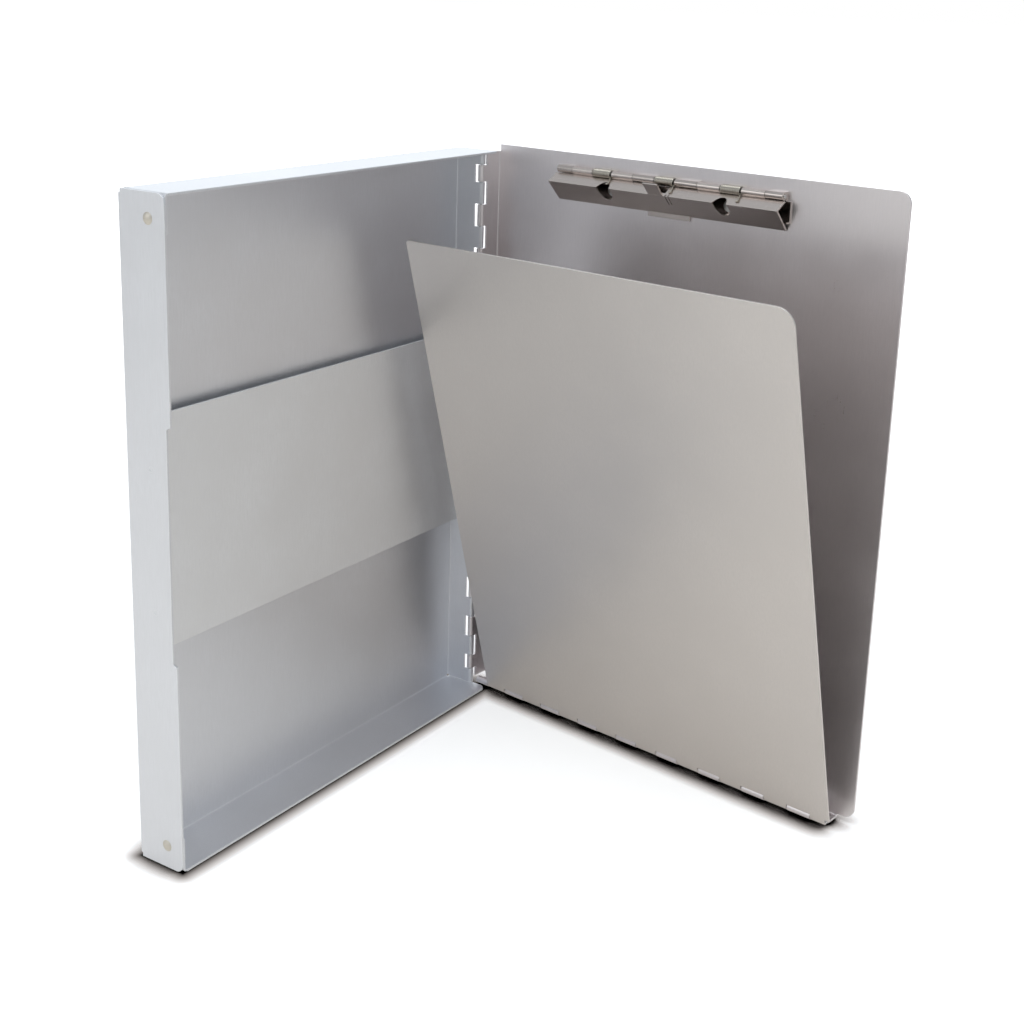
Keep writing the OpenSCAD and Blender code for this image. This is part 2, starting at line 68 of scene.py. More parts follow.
# Noise scales of the sheet finish, per metre
STREAK_SCALE = 1500.0
SPECKLE_SCALE = 2600.0
WAVE_SCALE = 7.0
CLOUD_SCALE = 28.0

# Rolling grain: stretch of its streaks up the sheet, their share beside the speckle, the
# noise range that goes from dark to light, and the shade at which it is fully dark or light
STREAK_STRETCH = (1.0, 1.0, 0.12)
STREAK_SHARE = 0.6
GRAIN_RANGE = 0.35, 0.65
FULL_GRAIN = 0.2

# Clouds: the noise range that goes from dark to light
CLOUD_RANGE = 0.3, 0.7

# Cut edges: cosines of the rounded normal's turn at which an edge starts and is full
EDGE_TURN = 0.985, 0.80
EDGE_SAMPLES = 4

# Lightness of clouds and grain beside the metal's own colour, and of the painted highlight on cut edges
CLOUD_DARK, CLOUD_LIGHT = 0.96, 1.03
GRAIN_DARK = 0.93
SHEET_EDGE_HIGHLIGHT = 1.2
PLATE_EDGE_HIGHLIGHT = 1.25

# Roughness of the sheet: what its clouds and grain add, and what first comes off for the clouds
CLOUD_ROUGHNESS = 0.05
GRAIN_ROUGHNESS = 0.25
CLOUD_SMOOTHING = 0.02

# Strength and height of the bumps that slow waves and fine grain raise
WAVE_BUMP = 0.35, 1.2 * MM
GRAIN_BUMP = 0.25, 0.02 * MM

# Plated and drawn steel: width of its rounded edges with their painted highlight, and the usual depth of
# its grain
PLATE_EDGE = 0.15 * MM
PLATE_GRAIN = 0.06

# Spring legs: slope of the jaw's upper face from the level, and how each leg lies on it
JAW_SLOPE = math.radians(58.3)
LEG_STAND_OFF = 0.58 * MM
LEG_START = 1.5 * MM
LEG_SPLAY = 1.6 * MM
HOOK_BACK = 1.1 * MM
HOOK_DOWN = 0.3 * MM
COIL_STEPS = 28
WIRE_SIDES = 10

# Floor: half its width, tint of its shade, and where its glow runs out to plain white
FLOOR_HALF = 20.0
SHADE_TINT = (1.0, 0.88, 0.82)
GLOW_NEAR, GLOW_FAR = 0.45, 1.6
GLOW_LOW = 0.45

# Contact shadow: how open the floor is where it is darkest, the height up to which the tray's
# points count as its foot, and the reach of the foot's shade as a share of the shadow's own
DARK_OPENING = 0.5
FOOT_HEIGHT = 0.1 * MM
FOOT_SHARE = 0.75
SHADE_SAMPLES = 12

# Camera: sensor width in mm, and the nearest distance that it sees
SENSOR_WIDTH = 36.0
CLIP_START = 0.01

# Soft lamps: name, place, size, power in watts and colour
AIM = (0.05, -0.08, 0.15)
LAMPS = (
    ("key", (-1.5, 0.7, 0.9), (1.2, 0.9), 3.6, (1.0, 1.0, 1.0)),
    ("sweep", (1.7, 1.3, 0.75), (2.2, 1.2), 10.0, (0.93, 0.97, 1.0)),
    ("overhead", (-0.2, -0.3, 1.8), (1.4, 1.4), 13.0, (0.95, 0.98, 1.0)),
)


# ---------------------------------------------------------------- settings


class SheetSettings(bpy.types.PropertyGroup):
    """Finish of the aluminium sheets."""

    tray_colour: bpy.props.FloatVectorProperty(
        name="Tray colour",
        description="Metal colour of the tray",
        default=(0.812, 0.822, 0.855),
        subtype="COLOR",
        min=0,
        max=1,
    )
    strap_colour: bpy.props.FloatVectorProperty(
        name="Strap colour",
        description="Metal colour of the retaining strap",
        default=(0.895, 0.898, 0.908),
        subtype="COLOR",
        min=0,
        max=1,
    )
    cover_colour: bpy.props.FloatVectorProperty(
        name="Cover colour",
        description="Metal colour of the cover",
        default=(0.832, 0.790, 0.797),
        subtype="COLOR",
        min=0,
        max=1,
    )
    flap_colour: bpy.props.FloatVectorProperty(
        name="Flap colour",
        description="Metal colour of the writing flap",
        default=(0.755, 0.716, 0.688),
        subtype="COLOR",
        min=0,
        max=1,
    )
    tray_roughness: bpy.props.FloatProperty(
        name="Tray roughness",
        description="Roughness of the tray's mill finish",
        default=0.46,
        min=0,
        max=1,
        subtype="FACTOR",
    )
    strap_roughness: bpy.props.FloatProperty(
        name="Strap roughness",
        description="Roughness of the strap's mill finish",
        default=0.60,
        min=0,
        max=1,
        subtype="FACTOR",
    )
    cover_roughness: bpy.props.FloatProperty(
        name="Cover roughness",
        description="Roughness of the cover's mill finish",
        default=0.32,
        min=0,
        max=1,
        subtype="FACTOR",
    )
    flap_roughness: bpy.props.FloatProperty(
        name="Flap roughness",
        description="Roughness of the writing flap's mill finish",
        default=0.45,
        min=0,
        max=1,
        subtype="FACTOR",
    )
    grain: bpy.props.FloatProperty(
        name="Grain",
        description="Depth of the fine rolling grain",
        default=0.25,
        min=0,
        max=1,
        subtype="FACTOR",
    )
    # The cut edges are rounded to this width, and a painted highlight of this width lightens them
    edge_width: bpy.props.FloatProperty(
        name="Edge width",
        description="Width of the bright cut edges",
        default=0.35 * MM,
        min=0,
        max=2 * MM,
        subtype="DISTANCE",
        unit="LENGTH",
        precision=5,
    )


class ClipSettings(bpy.types.PropertyGroup):
    """Finish and sizes of the spring clip."""

    plate_colour: bpy.props.FloatVectorProperty(
        name="Plating colour",
        description="Colour of the bright nickel plate",
        default=(0.655, 0.590, 0.555),
        subtype="COLOR",
        min=0,
        max=1,
    )
    plate_roughness: bpy.props.FloatProperty(
        name="Plating roughness",
        description="Roughness of the nickel plate on the jaw",
        default=0.26,
        min=0,
        max=1,
        subtype="FACTOR",
    )
    # Painted shade: the base plate under the jaw gets a darker copy of the jaw's nickel
    base_painted_shade: bpy.props.FloatProperty(
        name="Base plate shade",
        description="Lightness of the base plate beside the jaw",
        default=0.85,
        min=0,
        max=1,
        subtype="FACTOR",
    )
    base_roughness: bpy.props.FloatProperty(
        name="Base plate roughness",
        description="Roughness of the nickel plate on the base plate",
        default=0.19,
        min=0,
        max=1,
        subtype="FACTOR",
    )
    wire_radius: bpy.props.FloatProperty(
        name="Wire radius",
        description="Radius of the spring wire",
        default=0.45 * MM,
        min=0.1 * MM,
        max=1 * MM,
        subtype="DISTANCE",
        unit="LENGTH",
        precision=5,
    )
    coil_radius: bpy.props.FloatProperty(
        name="Coil radius",
        description="Outer radius of the wound spring",
        default=2.3 * MM,
        min=1 * MM,
        max=4 * MM,
        subtype="DISTANCE",
        unit="LENGTH",
        precision=5,
    )
    leg_length: bpy.props.FloatProperty(
        name="Leg length",
        description="Length of the straight spring leg on the jaw",
        default=4.9 * MM,
        min=1 * MM,
        max=10 * MM,
        subtype="DISTANCE",
        unit="LENGTH",
        precision=5,
    )


class StageSettings(bpy.types.PropertyGroup):
    """Floor, light and camera."""

    camera_place: bpy.props.FloatVectorProperty(
        name="Camera place",
        description="Where the camera stands",
        default=(-0.5369, -0.4565, 0.3794),
        subtype="XYZ",
        unit="LENGTH",
    )
    camera_azimuth: bpy.props.FloatProperty(
        name="Camera azimuth",
        description="Heading of the view, from +Y towards +X",
        default=math.radians(56.493),
        subtype="ANGLE",
        unit="ROTATION",
    )
    camera_elevation: bpy.props.FloatProperty(
        name="Camera elevation",
        description="Downward tilt of the view",
        default=math.radians(14.757),
        subtype="ANGLE",
        unit="ROTATION",
    )
    camera_roll: bpy.props.FloatProperty(
        name="Camera roll",
        description="Turn of the camera about its view",
        default=math.radians(1.699),
        subtype="ANGLE",
        unit="ROTATION",
    )
    focal_length: bpy.props.FloatProperty(
        name="Focal length",
        description="Focal length on a 36 mm sensor",
        default=54.477,
        min=10,
        max=300,
        unit="CAMERA",
    )
    shift: bpy.props.FloatProperty(
        name="Vertical shift",
        description="Lens shift, as a fraction of the picture",
        default=-0.1201,
        min=-0.3,
        max=0.3,
    )
    floor_white: bpy.props.FloatProperty(
        name="Floor white",
        description="Reflectance of the white floor as the camera sees it",
        default=0.90,
        min=0,
        max=1,
        subtype="FACTOR",
    )
    floor_bounce: bpy.props.FloatVectorProperty(
        name="Floor bounce",
        description="Colour of the floor as the metal sees it",
        default=(0.96, 0.925, 0.88),
        subtype="COLOR",
        min=0,
        max=1,
    )
    contact: bpy.props.FloatProperty(
        name="Contact shadow",
        description="Reach of the dark line where the box stands on the floor",
        default=0.012,
        min=0,
        max=0.1,
        subtype="DISTANCE",
        unit="LENGTH",
        precision=4,
    )
    sky_colour: bpy.props.FloatVectorProperty(
        name="Room colour",
        description="Colour of the room as the metal sees it",
        default=(0.91, 0.96, 1.00),
        subtype="COLOR",
        min=0,
        max=1,
    )
    sky_strength: bpy.props.FloatProperty(
        name="Room light",
        description="Strength of the even white room",
        default=0.58,
        min=0,
        max=3,
    )


# ---------------------------------------------------------------- shader groups


def make_group(name, inputs, outputs):
    """Empty shader group with its sockets, each given as name and type."""
    tree = bpy.data.node_groups.new(name, "ShaderNodeTree")
    for side, sockets in (("INPUT", inputs), ("OUTPUT", outputs)):
        for label, kind in sockets:
            tree.interface.new_socket(name=label, in_out=side, socket_type=kind)
    return tree, tree.nodes.new("NodeGroupInput"), tree.nodes.new("NodeGroupOutput")


def math_node(tree, operation, *values):
    """Math node whose inputs are sockets or numbers."""
    node = tree.nodes.new("ShaderNodeMath")
    node.operation = operation
    for slot, value in enumerate(values):
        if isinstance(value, bpy.types.NodeSocket):
            tree.links.new(value, node.inputs[slot])
        else:
            node.inputs[slot].default_value = value
    return node.outputs[0]


def map_range(tree, value, low, high, to_low=0.0, to_high=1.0):
    """Clamped linear remap of a socket."""
    node = tree.nodes.new("ShaderNodeMapRange")
    node.clamp = True
    tree.links.new(value, node.inputs["Value"])
    limits = (("From Min", low), ("From Max", high), ("To Min", to_low), ("To Max", to_high))
    for name, number in limits:
        node.inputs[name].default_value = number
    return node.outputs["Result"]


def noise(tree, vector, scale, detail=2.0, stretch=(1, 1, 1)):
    """Noise value of a stretched vector."""
    mapping = tree.nodes.new("ShaderNodeMapping")
    mapping.inputs["Scale"].default_value = stretch
    tree.links.new(vector, mapping.inputs["Vector"])
    node = tree.nodes.new("ShaderNodeTexNoise")
    node.inputs["Scale"].default_value = scale
    node.inputs["Detail"].default_value = detail
    tree.links.new(mapping.outputs["Vector"], node.inputs["Vector"])
    return node.outputs["Fac"]


def rolling_grain_group():
    """Fine grain that rolling leaves in sheet metal, drawn out up the sheet."""
    tree, given, result = make_group(
        "rolling grain",
        (("Vector", "NodeSocketVector"), ("Depth", "NodeSocketFloat")),
        (("Height", "NodeSocketFloat"), ("Shade", "NodeSocketFloat")),
    )
    vector = given.outputs["Vector"]
    streaks = noise(tree, vector, STREAK_SCALE, 3.0, STREAK_STRETCH)
    speckle = math_node(tree, "MULTIPLY", noise(tree, vector, SPECKLE_SCALE), 1 - STREAK_SHARE)
    mixed = math_node(tree, "MULTIPLY_ADD", streaks, STREAK_SHARE, speckle)
    tree.links.new(math_node(tree, "MULTIPLY", mixed, given.outputs["Depth"]), result.inputs["Height"])
    shade = map_range(tree, mixed, *GRAIN_RANGE, -0.5, 0.5)
    tree.links.new(math_node(tree, "MULTIPLY", shade, given.outputs["Depth"]), result.inputs["Shade"])
    return tree


def sheet_wave_group():
    """Slow unevenness of thin sheet, and the faint cloudiness of handled metal."""
    tree, given, result = make_group(
        "sheet wave",
        (("Vector", "NodeSocketVector"),),
        (("Height", "NodeSocketFloat"), ("Cloud", "NodeSocketFloat")),
    )
    vector = given.outputs["Vector"]
    tree.links.new(noise(tree, vector, WAVE_SCALE, 1.0), result.inputs["Height"])
    cloud = noise(tree, vector, CLOUD_SCALE, 4.0)
    tree.links.new(map_range(tree, cloud, *CLOUD_RANGE), result.inputs["Cloud"])
    return tree


def cut_edge_group():
    """Rounded normal at sharp edges, and a mask of them."""
    tree, given, result = make_group(
        "cut edge",
        (("Width", "NodeSocketFloat"),),
        (("Normal", "NodeSocketVector"), ("Mask", "NodeSocketFloat")),
    )
    bevel = tree.nodes.new("ShaderNodeBevel")
    bevel.samples = EDGE_SAMPLES
    tree.links.new(given.outputs["Width"], bevel.inputs["Radius"])
    geometry = tree.nodes.new("ShaderNodeNewGeometry")
    dot = tree.nodes.new("ShaderNodeVectorMath")
    dot.operation = "DOT_PRODUCT"
    tree.links.new(bevel.outputs["Normal"], dot.inputs[0])
    tree.links.new(geometry.outputs["Normal"], dot.inputs[1])
    tree.links.new(bevel.outputs["Normal"], result.inputs["Normal"])
    tree.links.new(map_range(tree, dot.outputs["Value"], *EDGE_TURN), result.inputs["Mask"])
    return tree


def shared_groups():
    """The three groups, built once."""
    makers = {
        "rolling grain": rolling_grain_group,
        "sheet wave": sheet_wave_group,
        "cut edge": cut_edge_group,
    }
    return {name: bpy.data.node_groups.get(name) or make() for name, make in makers.items()}


def use_group(tree, name):
    """Node that places one shared group in a material."""
    node = tree.nodes.new("ShaderNodeGroup")
    node.node_tree = shared_groups()[name]
    return node


# ---------------------------------------------------------------- materials


def new_material(name):
    """Material with an empty tree, its Principled shader and its output."""
    material = bpy.data.materials.new(name)
    material.use_nodes = True
    tree = material.node_tree
    tree.nodes.clear()
    shader = tree.nodes.new("ShaderNodeBsdfPrincipled")
    output = tree.nodes.new("ShaderNodeOutputMaterial")
    tree.links.new(shader.outputs["BSDF"], output.inputs["Surface"])
    return material, tree, shader


def mix_colour(tree, factor, first, second):
    """Colour mix of two sockets or colours."""
    node = tree.nodes.new("ShaderNodeMix")
    node.data_type = "RGBA"
    tree.links.new(factor, node.inputs["Factor"])
    for name, value in (("A", first), ("B", second)):
        socket = next(s for s in node.inputs if s.name == name and s.type == "RGBA")
        if isinstance(value, bpy.types.NodeSocket):
            tree.links.new(value, socket)
        else:
            socket.default_value = (*value, 1.0)
    return next(s for s in node.outputs if s.type == "RGBA")


def scaled(colour, factor):
    """Colour made lighter or darker, kept within 0 and 1."""
    return tuple(min(1.0, channel * factor) for channel in colour)


def bump(tree, height, normal, strength, distance):
    """Normal raised by a height, on top of another normal."""
    node = tree.nodes.new("ShaderNodeBump")
    node.inputs["Strength"].default_value = strength
    node.inputs["Distance"].default_value = distance
    tree.links.new(height, node.inputs["Height"])
    tree.links.new(normal, node.inputs["Normal"])
    return node.outputs["Normal"]


def sheet_metal(name, colour, roughness, settings):
    """Satin mill-finish aluminium sheet."""
    material, tree, shader = new_material(name)
    place = tree.nodes.new("ShaderNodeTexCoord").outputs["Object"]
    grain, wave, edge = (use_group(tree, n) for n in ("rolling grain", "sheet wave", "cut edge"))
    for node in (grain, wave):
        tree.links.new(place, node.inputs["Vector"])
    grain.inputs["Depth"].default_value = settings.grain
    edge.inputs["Width"].default_value = settings.edge_width
    dull, clear = scaled(colour, CLOUD_DARK), scaled(colour, CLOUD_LIGHT)
    grained, bright = scaled(colour, GRAIN_DARK), scaled(colour, SHEET_EDGE_HIGHLIGHT)
    clouded = mix_colour(tree, wave.outputs["Cloud"], dull, clear)
    light_grain = map_range(tree, grain.outputs["Shade"], -FULL_GRAIN, FULL_GRAIN)
    shaded = mix_colour(tree, light_grain, grained, clouded)
    # Painted highlight: the cut edges get a lighter base colour
    edge_highlighted = mix_colour(tree, edge.outputs["Mask"], shaded, bright)
    tree.links.new(edge_highlighted, shader.inputs["Base Color"])
    smoothest = roughness - CLOUD_SMOOTHING
    spread = math_node(tree, "MULTIPLY_ADD", wave.outputs["Cloud"], CLOUD_ROUGHNESS, smoothest)
    uneven = math_node(tree, "MULTIPLY_ADD", grain.outputs["Shade"], GRAIN_ROUGHNESS, spread)
    tree.links.new(uneven, shader.inputs["Roughness"])
    shader.inputs["Metallic"].default_value = 1.0
    slow = bump(tree, wave.outputs["Height"], edge.outputs["Normal"], *WAVE_BUMP)
    fine = bump(tree, grain.outputs["Height"], slow, *GRAIN_BUMP)
    tree.links.new(fine, shader.inputs["Normal"])
    return material


def bright_metal(name, colour, roughness, grain=PLATE_GRAIN):
    """Plated or drawn steel: smooth, with lightly rounded edges and a painted highlight on them."""
    material, tree, shader = new_material(name)
    place = tree.nodes.new("ShaderNodeTexCoord").outputs["Object"]
    grain_node, edge = use_group(tree, "rolling grain"), use_group(tree, "cut edge")
    tree.links.new(place, grain_node.inputs["Vector"])
    grain_node.inputs["Depth"].default_value = grain
    edge.inputs["Width"].default_value = PLATE_EDGE
    # Painted highlight: the edges get a lighter base colour
    edge_highlighted = mix_colour(tree, edge.outputs["Mask"], colour, scaled(colour, PLATE_EDGE_HIGHLIGHT))
    tree.links.new(edge_highlighted, shader.inputs["Base Color"])
    uneven = math_node(tree, "ADD", grain_node.outputs["Shade"], roughness)
    tree.links.new(uneven, shader.inputs["Roughness"])
    shader.inputs["Metallic"].default_value = 1.0
    tree.links.new(edge.outputs["Normal"], shader.inputs["Normal"])
    return material


def dress(node_name, material):
    """Gives every material slot of a CAD node this material."""
    node = frame["nodes"][node_name]
    if not node.material_slots:
        node.data.materials.append(material)
    for slot in node.material_slots:
        slot.material = material


# ---------------------------------------------------------------- springs


def spring_tree():
    """Geometry tree that winds a close spring with a straight leg, once for each input point."""
    tree = bpy.data.node_groups.new("wound springs", "GeometryNodeTree")
    tree.interface.new_socket(name="Geometry", in_out="INPUT", socket_type="NodeSocketGeometry")
    for label in ("Wire radius", "Coil radius", "Coil length", "Turns"):
        tree.interface.new_socket(name=label, in_out="INPUT", socket_type="NodeSocketFloat")
    for label in ("Leg start", "Leg end", "Hook end"):
        tree.interface.new_socket(name=label, in_out="INPUT", socket_type="NodeSocketVector")
    tree.interface.new_socket(name="Material", in_out="INPUT", socket_type="NodeSocketMaterial")
    tree.interface.new_socket(name="Geometry", in_out="OUTPUT", socket_type="NodeSocketGeometry")
    given, result = tree.nodes.new("NodeGroupInput"), tree.nodes.new("NodeGroupOutput")
    link = tree.links.new

    centre = math_node(tree, "SUBTRACT", given.outputs["Coil radius"], given.outputs["Wire radius"])
    spiral = tree.nodes.new("GeometryNodeCurveSpiral")
    spiral.inputs["Resolution"].default_value = COIL_STEPS
    link(given.outputs["Turns"], spiral.inputs["Rotations"])
    link(centre, spiral.inputs["Start Radius"])
    link(centre, spiral.inputs["End Radius"])
    link(given.outputs["Coil length"], spiral.inputs["Height"])
    turned = tree.nodes.new("GeometryNodeTransform")
    turned.inputs["Rotation"].default_value = (0.0, math.pi / 2, 0.0)
    link(spiral.outputs["Curve"], turned.inputs["Geometry"])
    half = math_node(tree, "MULTIPLY", given.outputs["Coil length"], -0.5)
    offset = tree.nodes.new("ShaderNodeCombineXYZ")
    link(half, offset.inputs["X"])
    link(offset.outputs["Vector"], turned.inputs["Translation"])

    legs = []
    for first, second in (("Leg start", "Leg end"), ("Leg end", "Hook end")):
        line = tree.nodes.new("GeometryNodeCurvePrimitiveLine")
        link(given.outputs[first], line.inputs["Start"])
        link(given.outputs[second], line.inputs["End"])
        legs.append(line.outputs["Curve"])
    wire = tree.nodes.new("GeometryNodeJoinGeometry")
    for socket in (turned.outputs["Geometry"], *legs):
        link(socket, wire.inputs["Geometry"])

    section = tree.nodes.new("GeometryNodeCurvePrimitiveCircle")
    section.inputs["Resolution"].default_value = WIRE_SIDES
    link(given.outputs["Wire radius"], section.inputs["Radius"])
    sweep = tree.nodes.new("GeometryNodeCurveToMesh")
    sweep.inputs["Fill Caps"].default_value = True
    link(wire.outputs["Geometry"], sweep.inputs["Curve"])
    link(section.outputs["Curve"], sweep.inputs["Profile Curve"])

    copies = tree.nodes.new("GeometryNodeInstanceOnPoints")
    link(given.outputs["Geometry"], copies.inputs["Points"])
    link(sweep.outputs["Mesh"], copies.inputs["Instance"])
    real = tree.nodes.new("GeometryNodeRealizeInstances")
    link(copies.outputs["Instances"], real.inputs["Geometry"])
    smooth = tree.nodes.new("GeometryNodeSetShadeSmooth")
    link(real.outputs["Geometry"], smooth.inputs["Geometry"])
    paint = tree.nodes.new("GeometryNodeSetMaterial")
    link(smooth.outputs["Geometry"], paint.inputs["Geometry"])
    link(given.outputs["Material"], paint.inputs["Material"])
    link(paint.outputs["Geometry"], result.inputs["Geometry"])
    return tree


def set_inputs(modifier, values):
    """Sets a Geometry Nodes modifier's inputs by socket identifier."""
    sockets = modifier.node_group.interface.items_tree
    names = {socket.name: socket.identifier for socket in sockets if socket.in_out == "INPUT"}
    for name, value in values.items():
        modifier[names[name]] = value


def bake(source, name, matrix):
    """Plain mesh object of source as evaluated, placed by matrix in its mesh."""
    graph = bpy.context.evaluated_depsgraph_get()
    mesh = bpy.data.meshes.new_from_object(source.evaluated_get(graph), depsgraph=graph)
    source.modifiers.clear()
    mesh.transform(matrix)
    mesh.name = name
    piece = bpy.data.objects.new(name, mesh)
    bpy.context.scene.collection.objects.link(piece)
    bpy.data.objects.remove(source)
    return piece


def barrel_axes():
    """Matrix from barrel axes (X along the pin, Y to the cover, Z up) to the frame."""
    along = -Vector(CLIP_HINGE["axis"])
    up = Vector((0, 0, 1))
    turn = Matrix((along, up.cross(along), up)).transposed().to_4x4()
    return Matrix.Translation(Vector(CLIP_HINGE["pos_m"])) @ turn


# ---------------------------------------------------------------- floor, light and camera


def foot_shade(tree, place, reach):
    """Shade of a floor point by how far it lies outside the tray's foot."""
    foot = [v.co for v in frame["nodes"]["tray_shell"].data.vertices if v.co.z < FOOT_HEIGHT]
    parts = tree.nodes.new("ShaderNodeSeparateXYZ")
    tree.links.new(place, parts.inputs["Vector"])
    outside = tree.nodes.new("ShaderNodeCombineXYZ")
    for axis, name in enumerate("XY"):
        low, high = min(c[axis] for c in foot), max(c[axis] for c in foot)
        centred = math_node(tree, "SUBTRACT", parts.outputs[name], (low + high) / 2)
        beyond = math_node(tree, "SUBTRACT", math_node(tree, "ABSOLUTE", centred), (high - low) / 2)
        tree.links.new(math_node(tree, "MAXIMUM", beyond, 0.0), outside.inputs[name])
    distance = tree.nodes.new("ShaderNodeVectorMath")
    distance.operation = "LENGTH"
    tree.links.new(outside.outputs["Vector"], distance.inputs[0])
    return map_range(tree, distance.outputs["Value"], 0.0, reach)


def white_floor(stage):
    """White floor that darkens close to what stands on it, as a painted contact shadow, and runs out to
    plain white.
    """
    material = bpy.data.materials.new("white floor")
    material.use_nodes = True
    tree = material.node_tree
    tree.nodes.clear()
    link = tree.links.new
    seen = tree.nodes.new("ShaderNodeLightPath").outputs["Is Camera Ray"]
    place = tree.nodes.new("ShaderNodeTexCoord").outputs["Object"]
    near = tree.nodes.new("ShaderNodeAmbientOcclusion")
    near.samples = SHADE_SAMPLES
    near.inputs["Distance"].default_value = stage.contact
    walls = map_range(tree, near.outputs["AO"], DARK_OPENING, 1.0)
    # Painted contact shadow: occlusion near walls and the distance to the tray's foot darken the floor
    shade = math_node(tree, "MINIMUM", walls, foot_shade(tree, place, FOOT_SHARE * stage.contact))
    tint = mix_colour(tree, shade, SHADE_TINT, (1.0, 1.0, 1.0))
    diffuse = tree.nodes.new("ShaderNodeBsdfDiffuse")
    white = tree.nodes.new("ShaderNodeVectorMath")
    white.operation = "SCALE"
    link(tint, white.inputs[0])
    link(math_node(tree, "MULTIPLY", shade, stage.floor_white), white.inputs["Scale"])
    colour = mix_colour(tree, seen, stage.floor_bounce, white.outputs["Vector"])
    link(colour, diffuse.inputs["Color"])
    away = tree.nodes.new("ShaderNodeVectorMath")
    away.operation = "LENGTH"
    link(place, away.inputs[0])
    fade = map_range(tree, away.outputs["Value"], GLOW_NEAR, GLOW_FAR, GLOW_LOW, 1.0)
    glow = tree.nodes.new("ShaderNodeEmission")
    link(tint, glow.inputs["Color"])
    shaded_fade = math_node(tree, "MULTIPLY", fade, shade)
    link(math_node(tree, "MULTIPLY", shaded_fade, seen), glow.inputs["Strength"])
    add = tree.nodes.new("ShaderNodeAddShader")
    output = tree.nodes.new("ShaderNodeOutputMaterial")
    link(diffuse.outputs["BSDF"], add.inputs[0])
    link(glow.outputs["Emission"], add.inputs[1])
    link(add.outputs["Shader"], output.inputs["Surface"])
    return material


def add_lamp(name, place, size, power, colour):
    """Soft area lamp at place that points at the box."""
    light = bpy.data.lights.new(name, "AREA")
    light.shape = "RECTANGLE"
    light.size, light.size_y = size
    light.energy = power
    light.color = colour
    lamp = bpy.data.objects.new(name, light)
    lamp.location = place
    lamp.visible_camera = False
    lamp.rotation_euler = (Vector(AIM) - Vector(place)).to_track_quat("-Z", "Y").to_euler()
    bpy.context.scene.collection.objects.link(lamp)


def lay_floor(stage):
    """Wide floor under the box."""
    mesh = bpy.data.meshes.new("floor")
    corners = [(x * FLOOR_HALF, y * FLOOR_HALF, 0) for x, y in ((-1, -1), (1, -1), (1, 1), (-1, 1))]
    mesh.from_pydata(corners, [], [(0, 1, 2, 3)])
    floor = bpy.data.objects.new("floor", mesh)
    mesh.materials.append(white_floor(stage))
    bpy.context.scene.collection.objects.link(floor)


def light_room(stage):
    """Even light from all round, plain white where the camera looks past the box."""
    world = bpy.data.worlds.new("room")
    world.use_nodes = True
    bpy.context.scene.world = world
    tree = world.node_tree
    tree.nodes.clear()
    room = tree.nodes.new("ShaderNodeBackground")
    seen = tree.nodes.new("ShaderNodeLightPath").outputs["Is Camera Ray"]
    colour = mix_colour(tree, seen, stage.sky_colour, (1.0, 1.0, 1.0))
    strength = map_range(tree, seen, 0.0, 1.0, stage.sky_strength, 1.0)
    tree.links.new(colour, room.inputs["Color"])
    tree.links.new(strength, room.inputs["Strength"])
    output = tree.nodes.new("ShaderNodeOutputWorld")
    tree.links.new(room.outputs["Background"], output.inputs["Surface"])


def place_camera(stage):
    """Camera at its place, turned to its heading and rolled about it."""
    lens = bpy.data.cameras.new("camera")
    lens.sensor_width = SENSOR_WIDTH
    lens.lens = stage.focal_length
    lens.shift_y = stage.shift
    lens.clip_start = CLIP_START
    camera = bpy.data.objects.new("camera", lens)
    azimuth, elevation = stage.camera_azimuth, stage.camera_elevation
    forward = Vector((math.sin(azimuth), math.cos(azimuth), 0))
    right = Vector((math.cos(azimuth), -math.sin(azimuth), 0))
    heading = math.cos(elevation) * forward - math.sin(elevation) * Vector((0, 0, 1))
    level = Matrix((right, right.cross(heading), -heading)).transposed()
    place = Matrix.Translation(stage.camera_place)
    roll = Matrix.Rotation(stage.camera_roll, 4, "Z")
    camera.matrix_world = place @ level.to_4x4() @ roll
    bpy.context.scene.collection.objects.link(camera)
    bpy.context.scene.camera = camera


# ---------------------------------------------------------------- operators


class CLIPBOX_OT_dress_tray(bpy.types.Operator):
    """Satin aluminium for the tray and its strap, nickel for its rivets and steel for its pin"""

    bl_idname = "clipbox.dress_tray"
    bl_label = "Dress the tray"

    def execute(self, context):
        sheet = context.scene.clipbox_sheet
        tray = sheet_metal("tray aluminium", sheet.tray_colour, sheet.tray_roughness, sheet)
        dress("tray_shell", tray)
        strap = sheet_metal("strap aluminium", sheet.strap_colour, sheet.strap_roughness, sheet)
        dress("retainer_strap", strap)
        rivet = bright_metal("rivet nickel", *RIVET_NICKEL)
        for name in ("corner_rivet_top", "corner_rivet_bottom"):
            dress(name, rivet)
        dress("main_hinge_pin", bright_metal("pin steel", *HINGE_PIN_STEEL))
        return {"FINISHED"}


class CLIPBOX_OT_dress_cover(bpy.types.Operator):
    """Satin aluminium for the cover and the writing flap"""

    bl_idname = "clipbox.dress_cover"
    bl_label = "Dress the cover and flap"

    def execute(self, context):
        sheet = context.scene.clipbox_sheet
        cover = sheet_metal("cover aluminium", sheet.cover_colour, sheet.cover_roughness, sheet)
        dress("cover_panel", cover)
        flap = sheet_metal("flap aluminium", sheet.flap_colour, sheet.flap_roughness, sheet)
        dress("writing_flap", flap)
        dress("flap_hinge_pin", bright_metal("flap pin steel", *HINGE_PIN_STEEL))
        return {"FINISHED"}


